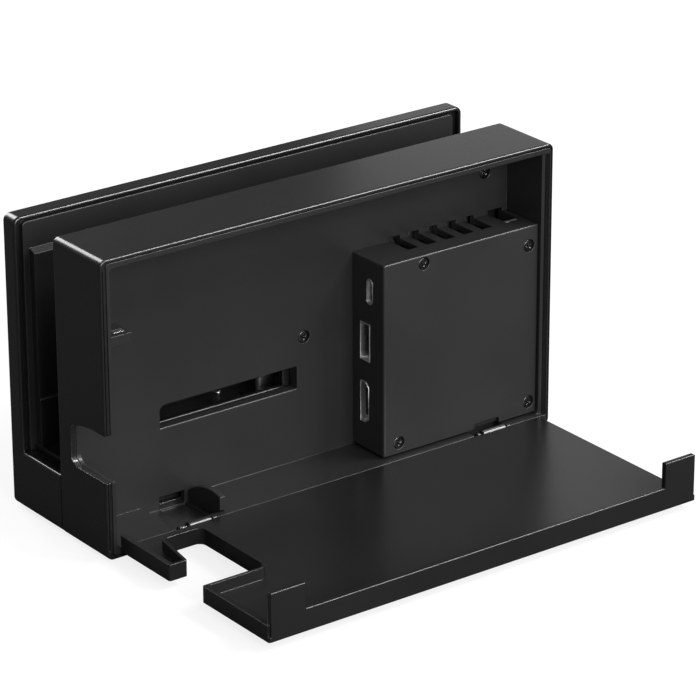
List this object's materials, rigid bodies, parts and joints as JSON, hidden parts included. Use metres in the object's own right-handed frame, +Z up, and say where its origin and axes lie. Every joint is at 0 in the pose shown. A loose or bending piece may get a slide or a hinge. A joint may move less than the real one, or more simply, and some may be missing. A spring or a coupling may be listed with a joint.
{
  "type": "handheld console dock",
  "caption": "Upright dock for a handheld console with a slot on top, a port housing in its rear cavity and a hinged rear cover with a cable notch.",
  "frame": {"origin": "middle of the upright body's footprint, on the table under the feet", "axes": "+X towards the end with the cable notch, +Y out of the rear cavity, +Z up; the front plate looks towards -Y"},
  "size_m": [0.173, 0.1315, 0.0981],
  "materials": {
    "shell_plastic": "fine matte texture",
    "inner_plastic": "fine matte texture",
    "housing_plastic": "fine matte texture",
    "cover_plastic": "satin",
    "plated_steel": "nickel plated",
    "bright_steel": "bright",
    "sheet_steel": "rolled sheet",
    "screw_steel": "dark plated",
    "core_plastic": "moulded",
    "board": "green resin laminate",
    "chip": "moulded package",
    "capacitor": "drawn can",
    "ribbon": "amber film",
    "foot_rubber": "matte"
  },
  "bodies": {
    "dock": {"front_shell": "shell_plastic", "front_inner_panel": "inner_plastic", "base_plate": "shell_plastic", "slot_floor": "inner_plastic", "rear_shell": "shell_plastic", "cavity_tray": "inner_plastic", "mark_plate": "bright_steel", "cable_hook": "inner_plastic", "port_housing": "housing_plastic", "main_board": "board", "video_chip": "chip", "power_chip": "chip", "board_capacitors": "capacitor", "ground_clip": "plated_steel", "power_port_shell": "plated_steel", "power_port_core": "core_plastic", "usb_port_shell": "plated_steel", "usb_port_core": "core_plastic", "video_port_shell": "plated_steel", "video_port_core": "core_plastic", "carrier_bracket": "sheet_steel", "plug_carrier": "core_plastic", "console_plug": "plated_steel", "locating_pins": "bright_steel", "plug_board": "board", "flat_cable": "ribbon", "shield_plate": "sheet_steel", "base_screws": "screw_steel", "joining_screws": "screw_steel", "wall_screws": "screw_steel", "housing_screws": "screw_steel", "board_screws": "screw_steel", "bracket_screws": "screw_steel", "rubber_feet": "foot_rubber"},
    "cover": {"rear_cover": "cover_plastic", "hinge_pin_near": "bright_steel", "hinge_pin_far": "bright_steel"}
  },
  "joints": [
    {"name": "cover_hinge", "type": "hinge", "parent": "dock", "child": "cover", "pos_m": [0, 0.0263, 0.0035], "axis": [1, 0, 0], "range_deg": [0, 90]}
  ]
}
